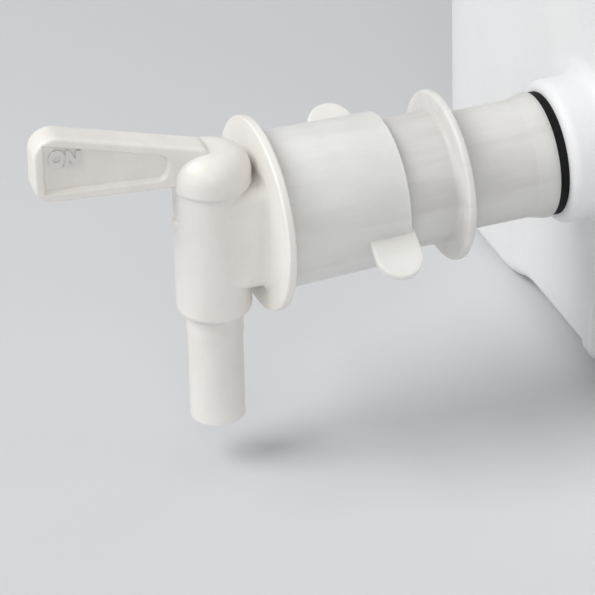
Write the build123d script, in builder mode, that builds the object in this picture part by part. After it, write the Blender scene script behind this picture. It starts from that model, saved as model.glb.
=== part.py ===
from build123d import *
import os
from math import cos, radians, sin, tan

os.makedirs("parts", exist_ok=True)

# Frame: millimetres, +Z up. The origin is the centre of the carboy's footprint, on the surface it
# stands on. The spigot points along -Y, and its axis lies in the plane x = 0.

# ---------------------------------------------------------------- driving dimensions
# Carboy
body_width = 250.0
body_depth = 270.0
body_height = 330.0
wall = 3.0
corner_radius = 45.0
base_edge_radius = 4.0
shoulder_radius = 42.0
arch_height = 4.8
foot_inset = 68.0
foot_slope = 23.0
pad_width = 10.0
pad_length = 120.0
pad_corner = 3.0
pinch_width = 5.0
pinch_depth = 0.9
pinch_reach = 24.0
pinch_edge_radius = 0.8
neck_radius = 37.0
neck_bore_radius = 32.0
neck_height = 34.0
neck_fillet = 6.0
bead_width = 3.5
bead_height = 3.0
bead_gap = 3.0
handle_offset = 78.0
handle_width = 26.0
handle_grip_length = 96.0
handle_leg = 16.0
handle_finger_height = 27.0
handle_finger_flat = 1.0
handle_bar = 15.0
handle_root = 30.0
handle_edge_radius = 6.0

# Cap
cap_clearance = 0.4
cap_wall = 2.6
cap_top = 2.4
cap_height = 25.0
cap_rib_count = 30
cap_rib_radius = 1.1
cap_edge_radius = 1.2
cap_edge_margin = 0.12
liner_thickness = 1.6
liner_gap = 0.3

# Spigot line: the axis that the boss, shank, sleeve and tap tail share
spigot_height = 66.5
boss_radius = 17.9
boss_length = 12.3
boss_edge_radius = 2.6
boss_root_radius = 4.0
boss_thread_radius = 12.8
thread_clearance = 0.05
gasket_radius = 15.3
gasket_thickness = 2.4

# Shank
pipe_radius = 14.6
collar_radius = 15.6
collar_land = 0.9
collar_flare = 4.6
shank_bore_radius = 8.5
shank_tail_length = 22.0
flange_radius = 21.1
flange_thickness = 2.0
flange_station = 38.9
flange_rim_radius = 0.8
segment_radius = 16.2
segment_length = 15.5
segment_fillet = 1.6
socket_end_gap = 0.5
bayonet_radius = 14.8
lug_height = 1.8
lug_width = 3.0
lug_sweep = 60.0
lug_lead = 1.5

# Wing sleeve
sleeve_gap = 14.0
sleeve_length = 30.9
sleeve_front_radius = 19.3
sleeve_rear_radius = 18.6
sleeve_wall = 1.7
sleeve_lip = 3.0
ledge_inset = 11.0
ledge_width = 3.0
ledge_sweep = 66.0
ledge_clearance = 0.3
ledge_overlap = 0.4
stop_sweep = 6.0
stop_gap = 1.0
wing_angle = -16.6
wing_slope = -33.0
wing_centre_radius = 23.1
wing_root = 6.0
wing_radius = 5.85
wing_thickness = 2.2
wing_setback = 4.8
wing_edge_radius = 0.5

# Tap body
disc_radius = 24.0
disc_thickness = 2.2
disc_rim_radius = 0.5
tap_offset = 10.7
barrel_radius = 9.2
barrel_top = 11.3
barrel_bottom = -23.6
barrel_bore_radius = 7.0
barrel_floor = -19.4
barrel_edge_radius = 1.6
nozzle_radius = 6.76
nozzle_collar_radius = 6.95
nozzle_collar_end = -29.8
nozzle_end = -53.5
nozzle_bore_radius = 4.9
tap_neck_width = 18.2
tap_neck_top = 11.1
tap_neck_bottom = -16.0
tap_neck_corner = 3.0
tap_neck_fillet = 1.5
port_radius = 4.8
tail_radius = 10.5
tail_bore_radius = 7.0
tail_length = 24.0
tail_seal_inset = 5.0
nub_radius = 2.1
nub_height = 0.9
nub_top = 3.7
nub_shoulder = 2.6
nub_bottom = -5.4
nub_round = 0.9

# Seals and rings
running_gap = 0.05
seat_gap = 0.3
oring_cord_radius = 0.8
groove_slack = 0.2
ring_width = 1.8
ring_depth = 1.2
ring_radius = 13.2
ring_opening = 40.0

# Valve plug and lever
plug_head_side = 8.0
plug_head_height = 6.5
upper_ring_height = 8.2
lower_ring_height = -9.0
plug_bore_radius = 4.6
lever_swing = 5.0
lever_tilt = 8.6
lever_axis_height = 17.15
lever_start = 1.0
lever_length = 43.9
lever_thickness = 7.2
lever_root_half_height = 4.45
lever_growth = 0.108
lever_root_corner = 2.5
lever_tip_top_corner = 5.2
lever_tip_low_corner = 4.4
lever_edge_radius = 0.9
recess_margin = 2.2
recess_depth = 1.3
recess_start = 10.8
recess_root_corner = 2.8
recess_slope = 30.0
hub_radius = 9.85
hub_top = 20.9
hub_round = 6.4

# ---------------------------------------------------------------- derived places
spigot_axis = Axis((0, 0, spigot_height), (0, 1, 0))
front_wall = body_depth / 2
neck_top = body_height + neck_height
liner_top = neck_top + liner_thickness
cap_inner_radius = neck_radius + cap_clearance
cap_outer_radius = cap_inner_radius + cap_wall
cap_base = liner_top + cap_top - cap_height

# Stations along the spigot, as distances in front of the carboy's front wall
gasket_front = boss_length + gasket_thickness
shank_rear = gasket_front - shank_tail_length
flange_front = flange_station + flange_thickness
sleeve_rear = flange_front + sleeve_gap
sleeve_front = sleeve_rear + sleeve_length
lip_rear = sleeve_front - sleeve_lip
ring_front = lip_rear - seat_gap
ring_rear = ring_front - ring_width
disc_rear = sleeve_front + seat_gap
disc_front = disc_rear + disc_thickness
tail_rear = disc_rear - tail_length
tail_seal = tail_rear + tail_seal_inset
ledge_rear = sleeve_rear + ledge_inset
ledge_front = ledge_rear + ledge_width
lug_rear = ledge_front + ledge_clearance
lug_front = lug_rear + lug_width
shank_front = lug_front + lug_lead

# Radii that fit each other
shank_tail_radius = boss_thread_radius - thread_clearance
socket_radius = tail_radius + running_gap
sleeve_inner_radius = sleeve_rear_radius - sleeve_wall
ledge_radius = bayonet_radius + ledge_clearance
lug_radius = bayonet_radius + lug_height
ring_seat_radius = tail_radius - ring_depth
plug_radius = barrel_bore_radius - running_gap

# Barrel and lever, upright at the spigot's front end
tap_y = -(front_wall + disc_front + tap_offset)
tap_axis = Axis((0, tap_y, 0), (0, 0, 1))
hub_base = barrel_top + seat_gap
plug_base = barrel_floor + seat_gap
valve_plane = Plane(
    origin=(0, tap_y, spigot_height),
    x_dir=(-sin(radians(lever_swing)), -cos(radians(lever_swing)), 0),
    z_dir=(0, 0, 1),
)
lever_outward = Vector(
    -sin(radians(lever_swing)) * cos(radians(lever_tilt)),
    -cos(radians(lever_swing)) * cos(radians(lever_tilt)),
    sin(radians(lever_tilt)),
)
lever_plane = Plane(
    origin=(0, tap_y, spigot_height + lever_axis_height),
    x_dir=lever_outward,
    z_dir=(-cos(radians(lever_swing)), sin(radians(lever_swing)), 0),
)


def in_front(distance):
    """Y of a point that far in front of the carboy's front wall."""
    return -(front_wall + distance)


def spigot_section(stations):
    """Closed half-section about the spigot's axis, from (distance in front of the wall, radius)."""
    with BuildSketch(Plane.YZ, mode=Mode.PRIVATE) as section:
        with BuildLine():
            Polyline(*[(in_front(d), spigot_height + r) for d, r in stations], close=True)
        make_face()
    return section.sketch


def tap_section(stations):
    """Closed half-section about the barrel's axis, from (radius, height over the spigot's axis)."""
    with BuildSketch(Plane.YZ, mode=Mode.PRIVATE) as section:
        with BuildLine():
            Polyline(*[(tap_y - r, spigot_height + h) for r, h in stations], close=True)
        make_face()
    return section.sketch


def ring_sector(distance, inner, outer, start, sweep):
    """Sector of a ring about the spigot's axis, drawn that far in front of the wall."""
    with BuildSketch(Plane.XZ.offset(front_wall + distance), mode=Mode.PRIVATE) as sector:
        with BuildLine():
            low = CenterArc((0, spigot_height), inner, start, sweep)
            high = CenterArc((0, spigot_height), outer, start, sweep)
            Line(low @ 0, high @ 0)
            Line(low @ 1, high @ 1)
        make_face()
    return sector.sketch


def rims(part, radius):
    """Circular edges of that radius."""
    return part.edges().filter_by(
        lambda edge: edge.geom_type == GeomType.CIRCLE and abs(edge.radius - radius) < running_gap
    )


def seal_groove(place, radius):
    """Profile points of an O-ring's groove in a shaft, as (place along the axis, radius)."""
    half = oring_cord_radius + groove_slack
    seat = radius - 2 * oring_cord_radius - running_gap
    return [(place - half, radius), (place - half, seat), (place + half, seat), (place + half, radius)]


def paddle_half_height(reach):
    """Half the height of the lever's paddle, that far out from the barrel's axis."""
    return lever_root_half_height + lever_growth * reach


def seal_ring(centre):
    """Cross-section of an O-ring centred at (y, z) in the plane x = 0."""
    with BuildSketch(Plane.YZ, mode=Mode.PRIVATE) as cord:
        with Locations(centre):
            Circle(oring_cord_radius)
    return cord.sketch


def arch_end(roof_end, foot):
    """Two equal arcs that lead tangentially from an arch's roof down to a foot."""
    middle = (roof_end + foot) / 2
    upper = TangentArc(roof_end, middle, tangent=Vector(foot.X - roof_end.X, 0))
    TangentArc(middle, foot, tangent=upper % 1)


def arch_outline(plane, half_span, top):
    """Opening between two feet that far either side of the middle, with its roof at that height."""
    with BuildSketch(plane, mode=Mode.PRIVATE) as outline:
        with BuildLine():
            roof_end = Vector(half_span - foot_slope, top)
            Line((0, top), roof_end)
            arch_end(roof_end, Vector(half_span, 0))
            Polyline((half_span, 0), (half_span, -top), (0, -top), (0, top))
        make_face()
        mirror(about=Plane.YZ)
    return outline.sketch


def base_arches(margin):
    """Clearance under the base between its feet, grown by a margin for the hollow above it."""
    top = arch_height + margin
    with BuildPart(mode=Mode.PRIVATE) as arches:
        across = arch_outline(Plane.XZ, body_width / 2 - foot_inset + margin, top)
        along = arch_outline(Plane.YZ, body_depth / 2 - foot_inset + margin, top)
        extrude(across, amount=body_depth, both=True)
        extrude(along, amount=body_width, both=True)
    return arches.part


# ---------------------------------------------------------------- carboy
# Hollow of the bottle: the block inside its walls, stepped up over the arches of the base
with BuildPart() as hollow:
    with BuildSketch(Plane.XY.offset(wall)):
        RectangleRounded(body_width - 2 * wall, body_depth - 2 * wall, corner_radius - wall)
    extrude(amount=body_height - 2 * wall)
    fillet(hollow.faces().sort_by(Axis.Z)[-1].edges(), radius=shoulder_radius - wall)
    add(base_arches(wall), mode=Mode.SUBTRACT)

# Pinch-off: the raised line that the mould leaves under the base and round its edge
with BuildPart() as pinch_off:
    with BuildSketch(Plane.YZ) as pinch_outline:
        with BuildLine():
            pinch_bottom = arch_height - pinch_depth
            pinch_front = front_wall + pinch_depth
            Polyline(
                (-front_wall + wall / 2, pinch_reach),
                (-front_wall, pinch_reach),
                (-pinch_front, pinch_bottom + pinch_reach / 2),
                (-pinch_front, pinch_bottom),
                (pinch_front, pinch_bottom),
                (pinch_front, pinch_bottom + pinch_reach / 2),
                (front_wall, pinch_reach),
                (front_wall - wall / 2, pinch_reach),
                close=True,
            )
        make_face()
        fillet(pinch_outline.vertices().group_by(Axis.Y)[0], radius=base_edge_radius + pinch_depth)
    extrude(amount=pinch_width / 2, both=True)
    fillet(pinch_off.faces().sort_by(SortBy.AREA)[-2:].edges(), radius=pinch_edge_radius)

# Side handle: a bar along the shoulder on two legs, with room for four fingers under it
with BuildPart() as side_handle:
    with BuildSketch(Plane.YZ.offset(handle_offset - handle_width / 2)):
        loop_height = handle_root + handle_finger_height + handle_bar
        loop_length = handle_grip_length + 2 * handle_leg
        with Locations((0, body_height - handle_root + loop_height / 2)):
            RectangleRounded(loop_length, loop_height, handle_leg + handle_edge_radius)
        with Locations((0, body_height + handle_finger_height / 2)):
            RectangleRounded(
                handle_grip_length,
                handle_finger_height,
                handle_finger_height / 2 - handle_finger_flat,
                mode=Mode.SUBTRACT,
            )
    extrude(amount=handle_width)
    grip_faces = side_handle.faces().sort_by(Axis.X)
    fillet(grip_faces[0].edges() + grip_faces[-1].edges(), radius=handle_edge_radius)

with BuildPart() as carboy_body:
    with BuildSketch():
        RectangleRounded(body_width, body_depth, corner_radius)
    extrude(amount=body_height)
    add(base_arches(0), mode=Mode.SUBTRACT)
    walls = carboy_body.faces().filter_by(lambda face: face.bounding_box().size.Z > body_height / 2)
    base_edge = walls.edges().filter_by(lambda edge: edge.bounding_box().max.Z < body_height / 2)
    fillet(base_edge, radius=base_edge_radius)
    fillet(carboy_body.faces().sort_by(Axis.Z)[-1].edges(), radius=shoulder_radius)
    add(pinch_off.part)
    with BuildSketch():
        RectangleRounded(pad_width, pad_length, pad_corner)
    extrude(amount=arch_height + wall / 2)
    with BuildSketch(Plane.XY.offset(body_height - wall)):
        Circle(neck_radius)
    extrude(amount=neck_height + wall)
    fillet(rims(carboy_body, neck_radius).sort_by(Axis.Z)[0], radius=neck_fillet)
    bead_base = cap_base - bead_gap - bead_height
    with BuildSketch(Plane.XY.offset(bead_base)):
        Circle(neck_radius + bead_width)
    extrude(amount=bead_height)
    with BuildSketch(Plane.XZ.offset(front_wall - wall)):
        with Locations((0, spigot_height)):
            Circle(boss_radius)
    extrude(amount=boss_length + wall)
    fillet(rims(carboy_body, boss_radius).sort_by(Axis.Y)[0], radius=boss_edge_radius)
    fillet(rims(carboy_body, boss_radius).sort_by(Axis.Y)[-1], radius=boss_root_radius)
    add(side_handle.part)
    add(mirror(side_handle.part, about=Plane.YZ, mode=Mode.PRIVATE))
    add(hollow.part, mode=Mode.SUBTRACT)
    with BuildSketch(Plane.XY.offset(neck_top)):
        Circle(neck_bore_radius)
    extrude(amount=-neck_height - 2 * wall, mode=Mode.SUBTRACT)
    with BuildSketch(Plane.XZ.offset(front_wall + boss_length)):
        with Locations((0, spigot_height)):
            Circle(boss_thread_radius)
    extrude(amount=-boss_length - 2 * wall, mode=Mode.SUBTRACT)
carboy_body.part.label = "carboy_body"
export_step(carboy_body.part, "parts/carboy_body.step")

# Screw cap with a ribbed skirt, over the neck
with BuildPart() as filling_cap:
    with BuildSketch(Plane.XY.offset(cap_base)):
        Circle(cap_outer_radius)
        with PolarLocations(cap_outer_radius, cap_rib_count):
            Circle(cap_rib_radius)
    extrude(amount=cap_height - cap_edge_radius)
    with BuildSketch(Plane.XY.offset(cap_base + cap_height - cap_edge_radius)):
        Circle(cap_outer_radius)
    extrude(amount=cap_edge_radius)
    fillet(filling_cap.faces().sort_by(Axis.Z)[-1].edges(), radius=cap_edge_radius - cap_edge_margin)
    with BuildSketch(Plane.XY.offset(cap_base)):
        Circle(cap_inner_radius)
    extrude(amount=cap_height - cap_top, mode=Mode.SUBTRACT)
filling_cap.part.label = "filling_cap"
export_step(filling_cap.part, "parts/filling_cap.step")

# Flat liner between the cap's roof and the neck's rim
with BuildPart() as cap_liner:
    with BuildSketch(Plane.XY.offset(neck_top)):
        Circle(cap_inner_radius - liner_gap)
    extrude(amount=liner_thickness)
cap_liner.part.label = "cap_liner"
export_step(cap_liner.part, "parts/cap_liner.step")

# ---------------------------------------------------------------- shank, screwed into the boss
with BuildPart() as boss_gasket:
    with BuildSketch(Plane.XZ.offset(front_wall + boss_length)):
        with Locations((0, spigot_height)):
            Circle(gasket_radius)
            Circle(boss_thread_radius, mode=Mode.SUBTRACT)
    extrude(amount=gasket_thickness)
boss_gasket.part.label = "boss_gasket"
export_step(boss_gasket.part, "parts/boss_gasket.step")

with BuildPart() as spigot_shank:
    collar_front = gasket_front + collar_land
    segment_front = flange_front + segment_length
    socket_rear = tail_rear - socket_end_gap
    revolve(
        spigot_section([
            (shank_rear, shank_bore_radius),
            (shank_rear, shank_tail_radius),
            (gasket_front, shank_tail_radius),
            (gasket_front, collar_radius),
            (collar_front, collar_radius),
            (collar_front + collar_flare, pipe_radius),
            (flange_station, pipe_radius),
            (flange_station, flange_radius),
            (flange_front, flange_radius),
            (flange_front, segment_radius),
            (segment_front, segment_radius),
            (segment_front, bayonet_radius),
            (shank_front, bayonet_radius),
            (shank_front, socket_radius),
            (socket_rear, socket_radius),
            (socket_rear, shank_bore_radius),
        ]),
        axis=spigot_axis,
    )
    fillet(rims(spigot_shank, flange_radius), radius=flange_rim_radius)
    fillet(rims(spigot_shank, segment_radius).sort_by(Axis.Y)[-1], radius=segment_fillet)
    for lug_centre in (90, 270):
        extrude(
            ring_sector(
                lug_rear, bayonet_radius - ledge_overlap, lug_radius, lug_centre - lug_sweep / 2, lug_sweep
            ),
            amount=lug_width,
        )
spigot_shank.part.label = "spigot_shank"
export_step(spigot_shank.part, "parts/spigot_shank.step")

# ---------------------------------------------------------------- wing sleeve
# Finger wing: a round plate beside the sleeve, turned off the radial line so that a fingertip rests on it
with BuildPart() as wing:
    lean = radians(wing_slope)
    wing_plane = Plane(
        origin=(
            wing_centre_radius * cos(radians(wing_angle)),
            in_front(sleeve_rear + wing_setback),
            spigot_height + wing_centre_radius * sin(radians(wing_angle)),
        ),
        x_dir=(cos(lean), 0, sin(lean)),
        z_dir=(-sin(lean), 0, cos(lean)),
    )
    with BuildSketch(wing_plane):
        with Locations((-wing_root / 2, 0)):
            SlotCenterToCenter(wing_root, 2 * wing_radius)
    extrude(amount=wing_thickness / 2, both=True)
    fillet(wing.faces().sort_by(SortBy.AREA)[-2:].edges(), radius=wing_edge_radius)

# A turn lets the inner ledges of the sleeve draw the tap against the shank's lugs
with BuildPart() as wing_sleeve:
    revolve(
        spigot_section([
            (sleeve_rear, 0),
            (sleeve_rear, sleeve_rear_radius),
            (sleeve_front, sleeve_front_radius),
            (sleeve_front, 0),
        ]),
        axis=spigot_axis,
    )
    add(wing.part)
    add(wing.part.rotate(spigot_axis, 180))
    revolve(
        spigot_section([
            (sleeve_rear - wing_radius, 0),
            (sleeve_rear - wing_radius, sleeve_inner_radius),
            (lip_rear, sleeve_inner_radius),
            (lip_rear, socket_radius),
            (sleeve_front, socket_radius),
            (sleeve_front, 0),
        ]),
        axis=spigot_axis,
        mode=Mode.SUBTRACT,
    )
    for ledge_centre in (90, 270):
        ledge_start = ledge_centre - ledge_sweep / 2
        extrude(
            ring_sector(
                ledge_rear, ledge_radius, sleeve_inner_radius + ledge_overlap, ledge_start, ledge_sweep
            ),
            amount=ledge_width,
        )
        stop_start = ledge_centre + lug_sweep / 2 + stop_gap
        extrude(
            ring_sector(
                ledge_rear, ledge_radius, sleeve_inner_radius + ledge_overlap, stop_start, stop_sweep
            ),
            amount=lug_front - ledge_rear,
        )
wing_sleeve.part.label = "wing_sleeve"
export_step(wing_sleeve.part, "parts/wing_sleeve.step")

# Split ring in the tail's groove, which keeps the sleeve on the tap
with BuildPart() as sleeve_ring:
    extrude(
        ring_sector(
            ring_rear,
            ring_seat_radius + running_gap,
            ring_radius,
            ring_opening / 2 - 90,
            360 - ring_opening,
        ),
        amount=ring_width,
    )
sleeve_ring.part.label = "sleeve_ring"
export_step(sleeve_ring.part, "parts/sleeve_ring.step")

# ---------------------------------------------------------------- tap body
with BuildPart() as tap_body:
    revolve(
        spigot_section([
            (tail_rear, 0),
            (tail_rear, tail_radius),
            *seal_groove(tail_seal, tail_radius),
            (ring_rear - running_gap, tail_radius),
            (ring_rear - running_gap, ring_seat_radius),
            (ring_front + running_gap, ring_seat_radius),
            (ring_front + running_gap, tail_radius),
            (disc_rear, tail_radius),
            (disc_rear, disc_radius),
            (disc_front, disc_radius),
            (disc_front, 0),
        ]),
        axis=spigot_axis,
    )
    fillet(rims(tap_body, disc_radius), radius=disc_rim_radius)
    with BuildSketch(Plane.XZ.offset(front_wall + disc_front)):
        with Locations((0, spigot_height + (tap_neck_top + tap_neck_bottom) / 2)):
            RectangleRounded(tap_neck_width, tap_neck_top - tap_neck_bottom, tap_neck_corner)
    extrude(amount=tap_offset)
    disc_face = tap_body.faces().filter_by(Axis.Y).filter_by(
        lambda face: abs(face.center().Y - in_front(disc_front)) < running_gap
    )
    fillet(disc_face.sort_by(SortBy.AREA)[-1].inner_wires()[0].edges(), radius=tap_neck_fillet)
    revolve(
        tap_section([
            (0, nozzle_end),
            (nozzle_radius, nozzle_end),
            (nozzle_radius, nozzle_collar_end),
            (nozzle_collar_radius, nozzle_collar_end),
            (nozzle_collar_radius, barrel_bottom),
            (barrel_radius, barrel_bottom),
            (barrel_radius, barrel_top),
            (0, barrel_top),
        ]),
        axis=tap_axis,
    )
    fillet(rims(tap_body, barrel_radius).sort_by(Axis.Z)[0], radius=barrel_edge_radius)
    nub_y = tap_y - barrel_radius + nub_radius - nub_height
    with BuildSketch(Plane.YZ, mode=Mode.PRIVATE) as nub_outline:
        with BuildLine():
            Polyline(
                (nub_y, spigot_height + nub_top),
                (nub_y - nub_radius, spigot_height + nub_shoulder),
                (nub_y, spigot_height + nub_bottom),
                close=True,
            )
        make_face()
        fillet(nub_outline.vertices().group_by(Axis.X)[0], radius=nub_round)
    revolve(nub_outline.sketch, axis=Axis((0, nub_y, 0), (0, 0, 1)))
    revolve(
        tap_section([
            (0, nozzle_end),
            (nozzle_bore_radius, nozzle_end),
            (nozzle_bore_radius, barrel_floor),
            (barrel_bore_radius, barrel_floor),
            (barrel_bore_radius, barrel_top),
            (0, barrel_top),
        ]),
        axis=tap_axis,
        mode=Mode.SUBTRACT,
    )
    revolve(
        spigot_section([
            (tail_rear, 0),
            (tail_rear, tail_bore_radius),
            (disc_rear, tail_bore_radius),
            (disc_front, port_radius),
            (disc_front + tap_offset, port_radius),
            (disc_front + tap_offset, 0),
        ]),
        axis=spigot_axis,
        mode=Mode.SUBTRACT,
    )
tap_body.part.label = "tap_body"
export_step(tap_body.part, "parts/tap_body.step")

with BuildPart() as tail_oring:
    revolve(
        seal_ring((in_front(tail_seal), spigot_height + tail_radius - oring_cord_radius)),
        axis=spigot_axis,
    )
tail_oring.part.label = "tail_oring"
export_step(tail_oring.part, "parts/tail_oring.step")

# ---------------------------------------------------------------- valve
# Hollow plug: water comes in by its side port and leaves through its open foot
with BuildPart() as valve_plug:
    revolve(
        tap_section([
            (0, plug_base),
            (plug_radius, plug_base),
            *[(r, h) for h, r in seal_groove(lower_ring_height, plug_radius)],
            *[(r, h) for h, r in seal_groove(upper_ring_height, plug_radius)],
            (plug_radius, hub_base),
            (0, hub_base),
        ]),
        axis=tap_axis,
    )
    with BuildSketch(valve_plane.offset(hub_base)):
        Rectangle(plug_head_side, plug_head_side)
    extrude(amount=plug_head_height)
    with BuildSketch(valve_plane.offset(plug_base)):
        Circle(plug_bore_radius)
    extrude(amount=plug_bore_radius - plug_base, mode=Mode.SUBTRACT)
    with BuildSketch(Plane(origin=valve_plane.origin, z_dir=-valve_plane.y_dir)):
        Circle(plug_bore_radius)
    extrude(amount=barrel_radius, mode=Mode.SUBTRACT)
valve_plug.part.label = "valve_plug"
export_step(valve_plug.part, "parts/valve_plug.step")

plug_rings = {"plug_oring_upper": upper_ring_height, "plug_oring_lower": lower_ring_height}
for ring_name, ring_height in plug_rings.items():
    with BuildPart() as plug_oring:
        revolve(
            seal_ring((tap_y - plug_radius + oring_cord_radius, spigot_height + ring_height)),
            axis=tap_axis,
        )
    plug_oring.part.label = ring_name
    export_step(plug_oring.part, f"parts/{ring_name}.step")

# Lever: a paddle that widens towards its tip, under a domed hub on the plug's square head
with BuildPart() as paddle:
    with BuildSketch(lever_plane) as paddle_outline:
        root_half = paddle_half_height(lever_start)
        tip_half = paddle_half_height(lever_length)
        tip_lean = tip_half * tan(radians(lever_tilt))
        with BuildLine():
            Polyline(
                (lever_start, -root_half),
                (lever_length - tip_lean, -tip_half),
                (lever_length + tip_lean, tip_half),
                (lever_start, root_half),
                close=True,
            )
        make_face()
        fillet(paddle_outline.vertices().group_by(Axis.X)[-1], radius=lever_tip_top_corner)
        low_tip = paddle_outline.vertices().filter_by_position(
            Axis.X, lever_length - tip_lean - running_gap, lever_length - tip_lean + running_gap
        )
        fillet(low_tip, radius=lever_tip_low_corner)
        fillet(paddle_outline.vertices().group_by(Axis.X)[0].sort_by(Axis.Y)[-1], radius=lever_root_corner)
    extrude(amount=lever_thickness / 2, both=True)
    fillet(paddle.faces().sort_by(SortBy.AREA)[-2:].edges(), radius=lever_edge_radius)
    recess_end = lever_length - recess_margin
    for face_side in (1, -1):
        with BuildSketch(lever_plane.offset(face_side * lever_thickness / 2)) as recess:
            with BuildLine():
                start_half = paddle_half_height(recess_start) - recess_margin
                end_half = paddle_half_height(recess_end) - recess_margin
                end_lean = end_half * tan(radians(lever_tilt))
                Polyline(
                    (recess_start, -start_half),
                    (recess_end - end_lean, -end_half),
                    (recess_end + end_lean, end_half),
                    (recess_start, start_half),
                    close=True,
                )
            make_face()
            fillet(recess.vertices().group_by(Axis.X)[0], radius=recess_root_corner)
        extrude(amount=-face_side * recess_depth, taper=recess_slope, mode=Mode.SUBTRACT)

with BuildPart() as lever_handle:
    with BuildSketch(Plane.YZ) as hub_section:
        with Locations((tap_y, spigot_height + hub_base)):
            Rectangle(hub_radius, hub_top - hub_base, align=(Align.MIN, Align.MIN))
        fillet(hub_section.vertices().sort_by(Axis.X)[-2:].sort_by(Axis.Y)[-1], radius=hub_round)
    revolve(axis=tap_axis)
    add(paddle.part)
    with BuildSketch(valve_plane.offset(hub_base)):
        Rectangle(plug_head_side + 2 * running_gap, plug_head_side + 2 * running_gap)
    extrude(amount=plug_head_height + running_gap, mode=Mode.SUBTRACT)
lever_handle.part.label = "lever_handle"
export_step(lever_handle.part, "parts/lever_handle.step")
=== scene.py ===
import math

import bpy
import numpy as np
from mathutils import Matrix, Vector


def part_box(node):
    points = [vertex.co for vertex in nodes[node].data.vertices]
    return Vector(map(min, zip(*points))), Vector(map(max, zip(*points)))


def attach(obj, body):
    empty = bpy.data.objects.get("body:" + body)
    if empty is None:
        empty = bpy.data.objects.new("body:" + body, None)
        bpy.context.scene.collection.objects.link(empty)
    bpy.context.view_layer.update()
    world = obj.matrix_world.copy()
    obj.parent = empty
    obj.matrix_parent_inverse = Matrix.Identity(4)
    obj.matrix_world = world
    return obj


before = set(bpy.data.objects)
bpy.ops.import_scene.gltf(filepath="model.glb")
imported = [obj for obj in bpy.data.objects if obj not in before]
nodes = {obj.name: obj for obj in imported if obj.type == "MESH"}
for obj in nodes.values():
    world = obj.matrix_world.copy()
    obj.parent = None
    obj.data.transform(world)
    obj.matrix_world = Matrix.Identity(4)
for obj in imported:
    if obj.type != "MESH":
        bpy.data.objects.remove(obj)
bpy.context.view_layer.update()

# %% [markdown]
# # A carboy with a spigot
#
# The frame already holds every rigid piece at its real size. This lesson dresses it: each plastic
# gets its own finish, and the lever gets its raised lettering.
#
# Everything is in metres with +Z up. The bottle stands on z = 0 and the spigot points along -Y.

MM = 0.001

# %% [markdown]
# ## The camera
#
# The object is seen from the right of the spigot and from above, through a long lens, so lines that
# are parallel stay almost parallel. The camera is turned by three angles. A matrix with the
# camera's right, up and backward directions as its columns says the same as Euler angles, and shows
# at a glance which way is which.

# %% Camera
camera_place = Vector((0.94273, -0.56019, 0.65136))
camera_azimuth = math.radians(69.76)
camera_pitch = math.radians(31.30)
camera_roll = math.radians(-1.35)
sensor_width = 36.0
lens_length = 292.4


def camera_axes(azimuth, pitch, roll):
    """Right, up and forward unit vectors: turned about Z, tipped down, then rolled about forward."""
    level_right = Vector((math.cos(azimuth), math.sin(azimuth), 0.0))
    forward = Vector((
        -math.sin(azimuth) * math.cos(pitch),
        math.cos(azimuth) * math.cos(pitch),
        -math.sin(pitch),
    ))
    level_up = level_right.cross(forward)
    right = level_right * math.cos(roll) + level_up * math.sin(roll)
    up = level_up * math.cos(roll) - level_right * math.sin(roll)
    return right, up, forward


right, up, forward = camera_axes(camera_azimuth, camera_pitch, camera_roll)
camera_data = bpy.data.cameras.new("view_of_the_tap")
camera_data.sensor_width = sensor_width
camera_data.lens = lens_length
camera_data.clip_end = 20.0
camera = bpy.data.objects.new("view_of_the_tap", camera_data)
camera.matrix_world = Matrix.Translation(camera_place) @ Matrix((right, up, -forward)).transposed().to_4x4()
bpy.context.scene.collection.objects.link(camera)
bpy.context.scene.camera = camera
print("camera looks along", [round(v, 3) for v in forward])

# %% [markdown]
# ## Light and floor
#
# White plastic shows its form only by soft shading, so the light comes from one large panel high on
# the left, a weaker one on the right, and an even pale world. The levels add up to about one, so
# that a colour renders about as it is written.
#
# The world has two strengths: the dimmer one lights the object, and the brighter one is what the
# camera sees behind it. One strength for both would either flatten the shading or leave a dark
# background.

# %% Light and floor
scene = bpy.context.scene
scene.view_settings.view_transform = "Standard"


def soft_panel(name, place, target, side, power):
    """A square area lamp at a place, facing a target point."""
    lamp = bpy.data.lights.new(name, "AREA")
    lamp.shape = "SQUARE"
    lamp.size = side
    lamp.energy = power
    panel = bpy.data.objects.new(name, lamp)
    aim = (Vector(target) - Vector(place)).to_track_quat("-Z", "Y")
    panel.matrix_world = Matrix.Translation(place) @ aim.to_matrix().to_4x4()
    scene.collection.objects.link(panel)


tap_middle = (0.0, -0.22, 0.07)
soft_panel("key_panel", (-0.15, -1.45, 1.45), tap_middle, 1.1, 24.0)
soft_panel("side_panel", (1.5, -0.9, 1.1), tap_middle, 1.2, 8.0)
print("panels aim at", tap_middle)

# %% World
world_light = 0.36
world_seen = 0.86
world = bpy.data.worlds.new("pale_room")
scene.world = world
world.use_nodes = True
world_nodes = world.node_tree
background = world_nodes.nodes["Background"]
light_path = world_nodes.nodes.new("ShaderNodeLightPath")
seen_strength = world_nodes.nodes.new("ShaderNodeMapRange")
seen_strength.inputs["To Min"].default_value = world_light
seen_strength.inputs["To Max"].default_value = world_seen
WHITE = (1.0, 1.0, 1.0, 1.0)
background.inputs["Color"].default_value = WHITE
world_nodes.links.new(light_path.outputs["Is Camera Ray"], seen_strength.inputs["Value"])
world_nodes.links.new(seen_strength.outputs["Result"], background.inputs["Strength"])
print("world lights at", world_light, "and is seen at", world_seen)

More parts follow.
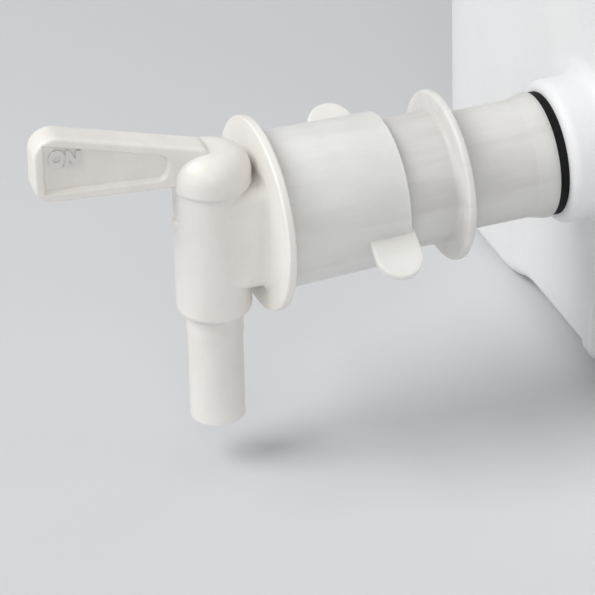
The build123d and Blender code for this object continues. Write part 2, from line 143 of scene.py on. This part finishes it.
# %% Floor
floor_half = 3.0
floor_mesh = bpy.data.meshes.new("floor")
floor_mesh.from_pydata(
    [(-floor_half, -floor_half, 0), (floor_half, -floor_half, 0),
     (floor_half, floor_half, 0), (-floor_half, floor_half, 0)],
    [],
    [(0, 1, 2, 3)],
)
floor = bpy.data.objects.new("floor", floor_mesh)
scene.collection.objects.link(floor)
print("floor side in metres:", 2 * floor_half)

# %% [markdown]
# ## Node groups that the finishes share
#
# Five plastics, a foam and a rubber are made of the same few effects, at different sizes and strengths:
#
# - a *moulded skin*, the fine orange-peel that a mould leaves, with slow clouds of tone under it;
# - *flow marks*, faint streaks along the way the plastic ran;
# - *handling scuffs*, sparse short scratches that dull the gloss.
#
# Each is a node group with named sockets. A group only puts out values that change over the
# surface. What is the same all over is set on the shader's own socket.

# %% A helper for groups and materials


def new_group(name, inputs, outputs):
    """An empty shader node group with float or colour sockets, given as (name, kind, default)."""
    group = bpy.data.node_groups.new(name, "ShaderNodeTree")
    for socket_name, kind, default in inputs:
        socket = group.interface.new_socket(socket_name, in_out="INPUT", socket_type="NodeSocket" + kind)
        socket.default_value = default
    for socket_name, kind in outputs:
        group.interface.new_socket(socket_name, in_out="OUTPUT", socket_type="NodeSocket" + kind)
    return group, group.nodes.new("NodeGroupInput"), group.nodes.new("NodeGroupOutput")


def add_node(tree, kind, inputs=None, **settings):
    """A node with settings as attributes, and inputs as sockets to link or plain values."""
    node = tree.nodes.new("ShaderNode" + kind)
    for attribute, value in settings.items():
        setattr(node, attribute, value)
    for key, value in (inputs or {}).items():
        if isinstance(value, bpy.types.NodeSocket):
            tree.links.new(value, node.inputs[key])
        else:
            node.inputs[key].default_value = value
    return node


def mix_colours(tree, factor, first, second):
    """Colour that goes from first to second as factor goes from 0 to 1."""
    node = tree.nodes.new("ShaderNodeMix")
    node.data_type = "RGBA"
    sockets = [socket for socket in node.inputs if socket.type == "RGBA"]
    for socket, value in zip(sockets, (first, second)):
        if isinstance(value, bpy.types.NodeSocket):
            tree.links.new(value, socket)
        else:
            socket.default_value = value
    tree.links.new(factor, node.inputs[0])
    return [socket for socket in node.outputs if socket.type == "RGBA"][0]


def remap(tree, value, low, high, new_low, new_high):
    """Value carried from the range low..high to new_low..new_high, and held at its ends."""
    return add_node(tree, "MapRange", {
        "Value": value, "From Min": low, "From Max": high, "To Min": new_low, "To Max": new_high,
    }).outputs["Result"]


# %% Moulded skin
skin_group, skin_in, skin_out = new_group(
    "moulded_skin",
    [("Light Tone", "Color", WHITE), ("Deep Tone", "Color", WHITE), ("Cloud Scale", "Float", 20.0),
     ("Grain Scale", "Float", 900.0), ("Low Roughness", "Float", 0.3), ("High Roughness", "Float", 0.5)],
    [("Color", "Color"), ("Roughness", "Float"), ("Height", "Float")],
)
place = add_node(skin_group, "TexCoord").outputs["Object"]
clouds = add_node(skin_group, "TexNoise", {
    "Vector": place, "Scale": skin_in.outputs["Cloud Scale"], "Detail": 4.0, "Roughness": 0.55,
}).outputs["Fac"]
grain = add_node(skin_group, "TexNoise", {
    "Vector": place, "Scale": skin_in.outputs["Grain Scale"], "Detail": 2.0, "Roughness": 0.4,
}).outputs["Fac"]
cloud_share = remap(skin_group, clouds, 0.32, 0.68, 0.0, 1.0)
skin_tone = mix_colours(
    skin_group, cloud_share, skin_in.outputs["Light Tone"], skin_in.outputs["Deep Tone"]
)
skin_roughness = add_node(skin_group, "MapRange", {
    "Value": grain, "From Min": 0.3, "From Max": 0.7,
    "To Min": skin_in.outputs["Low Roughness"], "To Max": skin_in.outputs["High Roughness"],
}).outputs["Result"]
for output, value in (("Color", skin_tone), ("Roughness", skin_roughness), ("Height", grain)):
    skin_group.links.new(value, skin_out.inputs[output])

# %% Flow marks
flow_group, flow_in, flow_out = new_group(
    "flow_marks",
    [("Color", "Color", WHITE), ("Streak Tone", "Color", WHITE), ("Along", "Vector", (1.0, 1.0, 1.0)),
     ("Amount", "Float", 0.5)],
    [("Color", "Color")],
)
stretched = add_node(flow_group, "Mapping", {
    "Vector": add_node(flow_group, "TexCoord").outputs["Object"], "Scale": flow_in.outputs["Along"],
}).outputs["Vector"]
streaks = add_node(flow_group, "TexNoise", {
    "Vector": stretched, "Scale": 1.0, "Detail": 5.0, "Roughness": 0.6, "Distortion": 0.4,
}).outputs["Fac"]
streak_mask = add_node(flow_group, "Math", {
    0: remap(flow_group, streaks, 0.46, 0.66, 0.0, 1.0), 1: flow_in.outputs["Amount"],
}, operation="MULTIPLY").outputs[0]
streak_tone = mix_colours(
    flow_group, streak_mask, flow_in.outputs["Color"], flow_in.outputs["Streak Tone"]
)
flow_group.links.new(streak_tone, flow_out.inputs["Color"])

# %% Handling scuffs
scratch_turn = (0.5, 0.9, 0.3)
scratch_fineness = (2600.0, 240.0, 420.0)
scuff_group, scuff_in, scuff_out = new_group(
    "handling_scuffs",
    [("Roughness", "Float", 0.4), ("Height", "Float", 0.5), ("Scale", "Float", 60.0),
     ("Amount", "Float", 0.5)],
    [("Roughness", "Float"), ("Height", "Float")],
)
scuff_place = add_node(scuff_group, "TexCoord").outputs["Object"]
patches = add_node(scuff_group, "TexNoise", {
    "Vector": scuff_place, "Scale": scuff_in.outputs["Scale"], "Detail": 3.0,
}).outputs["Fac"]
scratch_run = add_node(scuff_group, "Mapping", {
    "Vector": scuff_place, "Rotation": scratch_turn, "Scale": scratch_fineness,
}).outputs["Vector"]
scratches = add_node(scuff_group, "TexNoise", {
    "Vector": scratch_run, "Scale": 1.0, "Detail": 1.0,
}).outputs["Fac"]
scuff_mask = add_node(scuff_group, "Math", {
    0: add_node(scuff_group, "Math", {
        0: remap(scuff_group, patches, 0.52, 0.7, 0.0, 1.0),
        1: remap(scuff_group, scratches, 0.62, 0.7, 0.0, 1.0),
    }, operation="MULTIPLY").outputs[0],
    1: scuff_in.outputs["Amount"],
}, operation="MULTIPLY").outputs[0]
dulled = add_node(scuff_group, "Math", {
    0: scuff_in.outputs["Roughness"], 1: scuff_mask,
}, operation="ADD").outputs[0]
scored = add_node(scuff_group, "Math", {
    0: scuff_in.outputs["Height"], 1: scuff_mask,
}, operation="SUBTRACT").outputs[0]
scuff_group.links.new(dulled, scuff_out.inputs["Roughness"])
scuff_group.links.new(scored, scuff_out.inputs["Height"])
print("node groups:", [group.name for group in bpy.data.node_groups])

# %% [markdown]
# ## The plastics
#
# Polypropylene and polyethylene are milky: light goes a few millimetres in before it comes out
# again, which softens every edge. Subsurface scattering does that. Its weight, radius and scale are
# the same all over, so they are set on the shader. The tone and roughness come through the groups.

# %% Helpers for one moulded finish


def use_group(tree, group, inputs):
    """A group placed in a material, with its inputs linked or set."""
    node = tree.nodes.new("ShaderNodeGroup")
    node.node_tree = group
    for key, value in inputs.items():
        if isinstance(value, bpy.types.NodeSocket):
            tree.links.new(value, node.inputs[key])
        else:
            node.inputs[key].default_value = value
    return node


def linear(red, green, blue):
    """Linear colour from the 0..255 values that a screen shows."""
    def channel(value):
        share = value / 255.0
        return share / 12.92 if share <= 0.04045 else ((share + 0.055) / 1.055) ** 2.4
    return (channel(red), channel(green), channel(blue), 1.0)


plastic_ior = 1.49


def moulded_finish(name, skin, flow, scuffs, depth, scatter, shine=0.5):
    """A finish of moulded skin, flow marks and scuffs.

    depth is the grain's height in metres. scatter is the share of light that goes in, how far each
    of red, green and blue goes, and the length in metres that those are measured in. shine is the
    strength of the plain reflection.
    """
    material = bpy.data.materials.new(name)
    material.use_nodes = True
    tree = material.node_tree
    shader = tree.nodes["Principled BSDF"]
    skin_node = use_group(tree, skin_group, skin)
    flow_node = use_group(tree, flow_group, {"Color": skin_node.outputs["Color"], **flow})
    scuff_node = use_group(tree, scuff_group, {
        "Roughness": skin_node.outputs["Roughness"], "Height": skin_node.outputs["Height"], **scuffs,
    })
    bump = add_node(tree, "Bump", {
        "Height": scuff_node.outputs["Height"], "Strength": 1.0, "Distance": depth,
    })
    tree.links.new(flow_node.outputs["Color"], shader.inputs["Base Color"])
    tree.links.new(scuff_node.outputs["Roughness"], shader.inputs["Roughness"])
    tree.links.new(bump.outputs["Normal"], shader.inputs["Normal"])
    weight, radius, scale = scatter
    shader.inputs["Subsurface Weight"].default_value = weight
    shader.inputs["Subsurface Radius"].default_value = radius
    shader.inputs["Subsurface Scale"].default_value = scale
    shader.inputs["Specular IOR Level"].default_value = shine
    shader.inputs["IOR"].default_value = plastic_ior
    return material


# %% [markdown]
# ## One finish for each material
#
# The bottle is a plain white and slightly duller than the injection-moulded tap, which is warmer and
# smoother. The shank is the milkiest and darkest of the whites, and the sleeve over it is a little
# paler. The gasket and the O-rings are black rubber, whose reflection is turned down, because pale
# surroundings would otherwise make it grey. One function with different values makes them all, so
# that they belong together.

# %% Bottle, tap, shank, sleeve, cap, liner and rubber
bottle_white = moulded_finish(
    "blow_moulded_bottle",
    {"Light Tone": linear(240, 240, 240), "Deep Tone": linear(233, 233, 234), "Cloud Scale": 9.0,
     "Grain Scale": 700.0, "Low Roughness": 0.42, "High Roughness": 0.56},
    {"Streak Tone": linear(228, 229, 230), "Along": (26.0, 26.0, 5.0), "Amount": 0.5},
    {"Scale": 14.0, "Amount": 0.25},
    depth=0.00012,
    scatter=(0.3, (1.0, 0.95, 0.9), 0.006),
)
tap_white = moulded_finish(
    "warm_white_tap",
    {"Light Tone": linear(241, 238, 233), "Deep Tone": linear(234, 231, 225), "Cloud Scale": 60.0,
     "Grain Scale": 1500.0, "Low Roughness": 0.3, "High Roughness": 0.42},
    {"Streak Tone": linear(227, 223, 216), "Along": (110.0, 110.0, 25.0), "Amount": 0.35},
    {"Scale": 60.0, "Amount": 0.3},
    depth=0.00004,
    scatter=(0.35, (1.0, 0.92, 0.84), 0.004),
)
milky_shank = moulded_finish(
    "milky_polypropylene",
    {"Light Tone": linear(221, 220, 217), "Deep Tone": linear(212, 211, 207), "Cloud Scale": 45.0,
     "Grain Scale": 1300.0, "Low Roughness": 0.34, "High Roughness": 0.46},
    {"Streak Tone": linear(202, 201, 197), "Along": (140.0, 18.0, 140.0), "Amount": 0.6},
    {"Scale": 50.0, "Amount": 0.3},
    depth=0.00005,
    scatter=(0.55, (1.0, 0.97, 0.94), 0.008),
)
sleeve_white = moulded_finish(
    "pale_sleeve",
    {"Light Tone": linear(238, 237, 233), "Deep Tone": linear(230, 229, 224), "Cloud Scale": 50.0,
     "Grain Scale": 1300.0, "Low Roughness": 0.34, "High Roughness": 0.46},
    {"Streak Tone": linear(220, 219, 213), "Along": (140.0, 18.0, 140.0), "Amount": 0.4},
    {"Scale": 50.0, "Amount": 0.3},
    depth=0.00005,
    scatter=(0.5, (1.0, 0.96, 0.92), 0.006),
)
cap_white = moulded_finish(
    "ribbed_cap",
    {"Light Tone": linear(236, 236, 234), "Deep Tone": linear(229, 229, 226), "Cloud Scale": 30.0,
     "Grain Scale": 1100.0, "Low Roughness": 0.36, "High Roughness": 0.5},
    {"Streak Tone": linear(222, 222, 219), "Along": (40.0, 40.0, 40.0), "Amount": 0.3},
    {"Scale": 30.0, "Amount": 0.4},
    depth=0.00007,
    scatter=(0.25, (1.0, 0.95, 0.9), 0.004),
)
foam_liner = moulded_finish(
    "foam_liner",
    {"Light Tone": linear(226, 225, 221), "Deep Tone": linear(214, 213, 208), "Cloud Scale": 90.0,
     "Grain Scale": 2400.0, "Low Roughness": 0.8, "High Roughness": 0.95},
    {"Streak Tone": linear(206, 204, 198), "Along": (300.0, 300.0, 300.0), "Amount": 0.4},
    {"Scale": 60.0, "Amount": 0.1},
    depth=0.0001,
    scatter=(0.1, (1.0, 0.95, 0.9), 0.002),
)
black_rubber = moulded_finish(
    "black_rubber",
    {"Light Tone": linear(20, 20, 20), "Deep Tone": linear(13, 13, 13), "Cloud Scale": 120.0,
     "Grain Scale": 2000.0, "Low Roughness": 0.55, "High Roughness": 0.75},
    {"Streak Tone": linear(32, 32, 33), "Along": (300.0, 300.0, 300.0), "Amount": 0.4},
    {"Scale": 80.0, "Amount": 0.3},
    depth=0.00005,
    scatter=(0.0, (1.0, 1.0, 1.0), 0.001),
    shine=0.15,
)

finishes = {
    "carboy_body": bottle_white,
    "filling_cap": cap_white,
    "cap_liner": foam_liner,
    "boss_gasket": black_rubber,
    "spigot_shank": milky_shank,
    "wing_sleeve": sleeve_white,
    "sleeve_ring": tap_white,
    "tap_body": tap_white,
    "tail_oring": black_rubber,
    "valve_plug": tap_white,
    "plug_oring_upper": black_rubber,
    "plug_oring_lower": black_rubber,
    "lever_handle": tap_white,
}


def dress(piece, material):
    """One material all over a piece."""
    piece.data.materials.clear()
    piece.data.materials.append(material)


for node_name, finish in finishes.items():
    dress(nodes[node_name], finish)
print("dressed", len(finishes), "pieces")

# %% [markdown]
# ## The floor's finish
#
# The floor is a plain pale grey, a little darker than the plastics, so that their edges read against
# it and their shadow stays on it.

# %% Floor's finish
floor_grey = linear(214, 215, 217)
floor_roughness = 0.55
floor_finish = bpy.data.materials.new("pale_bench")
floor_finish.use_nodes = True
floor_shader = floor_finish.node_tree.nodes["Principled BSDF"]
floor_shader.inputs["Base Color"].default_value = floor_grey
floor_shader.inputs["Roughness"].default_value = floor_roughness
dress(floor, floor_finish)
print("floor finish:", floor_finish.name)

# %% [markdown]
# ## Raised lettering on the lever
#
# The word on the lever stands up from the floor of its recess. It could be pressed out of the lever
# itself, but the lever's mesh belongs to the frame, so it is a thin piece of its own. It is typed as
# a text object, turned into a mesh, and then carried onto the lever's side: its reading direction
# runs from the lever's tip towards the hub, and its top points away from the bench.

# %% Lever's side and the letters' sizes
plug_low, plug_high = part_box("valve_plug")
barrel_y = 0.5 * (plug_low.y + plug_high.y)
spigot_height = 66.5 * MM
lever_swing = math.radians(5.0)
lever_tilt = math.radians(8.6)
lever_axis_height = 17.15 * MM
lever_thickness = 7.2 * MM
recess_depth = 1.3 * MM
recess_floor = lever_thickness / 2 - recess_depth
letter_rise = 0.55 * MM
letter_root = 0.1 * MM

outward = Vector((
    -math.sin(lever_swing) * math.cos(lever_tilt),
    -math.cos(lever_swing) * math.cos(lever_tilt),
    math.sin(lever_tilt),
))
side_face = Vector((math.cos(lever_swing), -math.sin(lever_swing), 0.0))
upward = side_face.cross(-outward)
lever_root = Vector((0.0, barrel_y, spigot_height + lever_axis_height))
print("lever root:", [round(v, 4) for v in lever_root])

# %% Lettering
stroke_depth = 0.5
stroke_swell = 0.03
stroke_bevel = 0.04
curve_steps = 6


def raised_word(name, word, reach, rise_above, cap_height, width):
    """A word as a mesh on the lever's side, starting at that reach from the hub and running inwards.

    Each corner's share of the typed word's box, 0 to 1 on each axis, is carried to a length along
    the lever, a height on its side and a lift out of it. letter_root is sunk into the recess's floor.
    """
    curve = bpy.data.curves.new(name, "FONT")
    curve.body = word
    curve.extrude = stroke_depth
    curve.offset = stroke_swell
    curve.bevel_depth = stroke_bevel
    curve.resolution_u = curve_steps
    typed = bpy.data.objects.new(name, curve)
    scene.collection.objects.link(typed)
    bpy.context.view_layer.update()
    mesh = bpy.data.meshes.new_from_object(typed)
    bpy.data.objects.remove(typed)
    corners = np.zeros(len(mesh.vertices) * 3)
    mesh.vertices.foreach_get("co", corners)
    corners = corners.reshape(-1, 3)
    low, high = corners.min(axis=0), corners.max(axis=0)
    share = (corners - low) / (high - low)
    along = reach - share[:, 0] * width
    height = rise_above + share[:, 1] * cap_height
    lift = recess_floor - letter_root + share[:, 2] * (letter_rise + letter_root)
    placed = (
        np.array(lever_root)
        + np.outer(along, outward) + np.outer(height, upward) + np.outer(lift, side_face)
    )
    mesh.vertices.foreach_set("co", placed.ravel())
    mesh.update()
    piece = bpy.data.objects.new(name, mesh)
    scene.collection.objects.link(piece)
    dress(piece, tap_white)
    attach(piece, "valve")
    return piece


word_reach = 40.4 * MM
word_rise = 0.3 * MM
word_height = 4.6 * MM
word_width = 7.6 * MM
on_word = raised_word("lever_lettering", "ON", word_reach, word_rise, word_height, word_width)
print("lettering vertices:", len(on_word.data.vertices))
